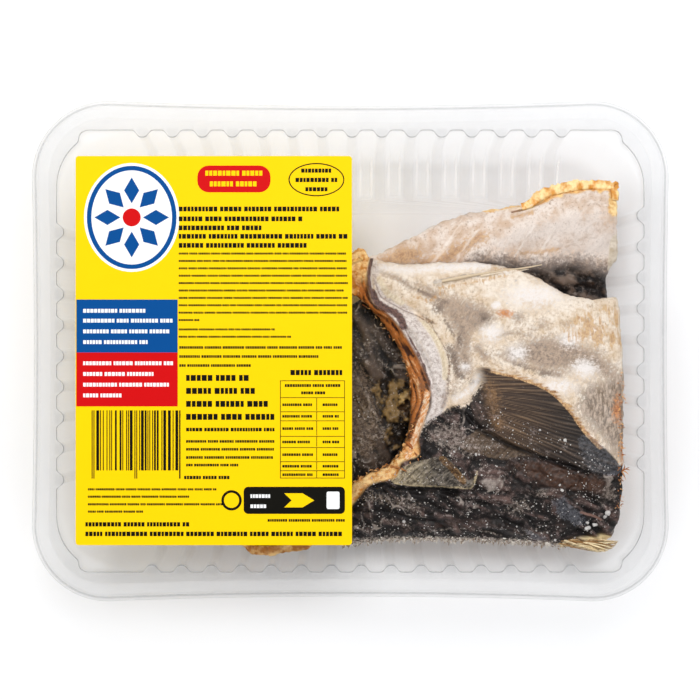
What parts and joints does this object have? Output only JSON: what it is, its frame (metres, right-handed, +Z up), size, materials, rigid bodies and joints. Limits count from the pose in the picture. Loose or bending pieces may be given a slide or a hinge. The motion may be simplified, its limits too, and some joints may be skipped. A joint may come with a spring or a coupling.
{
  "type": "sealed tray pack of dried salted fish cutlets",
  "caption": "Clear ribbed retail tray sealed with clear film, holding thick dried salted fish cutlets with dark and white skin, under a yellow paper label.",
  "frame": {"origin": "on the ground, under the middle of the tray", "axes": "+X along the tray's length, to the right as the label is read; +Y away from the reader; +Z up through the film"},
  "size_m": [0.227, 0.1784, 0.046],
  "materials": {
    "clear_tray": "clear glossy thermoformed sheet",
    "clear_film": "clear glossy film",
    "yellow_label": "smooth printed paper",
    "mottled_fish": "dry salted skin, white to black, with salt crystals",
    "pale_fish": "dry pale skin with amber flesh at the cut",
    "dark_fish": "dry dark skin with amber flesh at the cut"
  },
  "bodies": {
    "root": {"tray": "clear_tray", "lidding_film": "clear_film", "label": "yellow_label", "cutlet_main": "mottled_fish", "cutlet_back": "pale_fish", "cutlet_left": "dark_fish"}
  },
  "joints": []
}
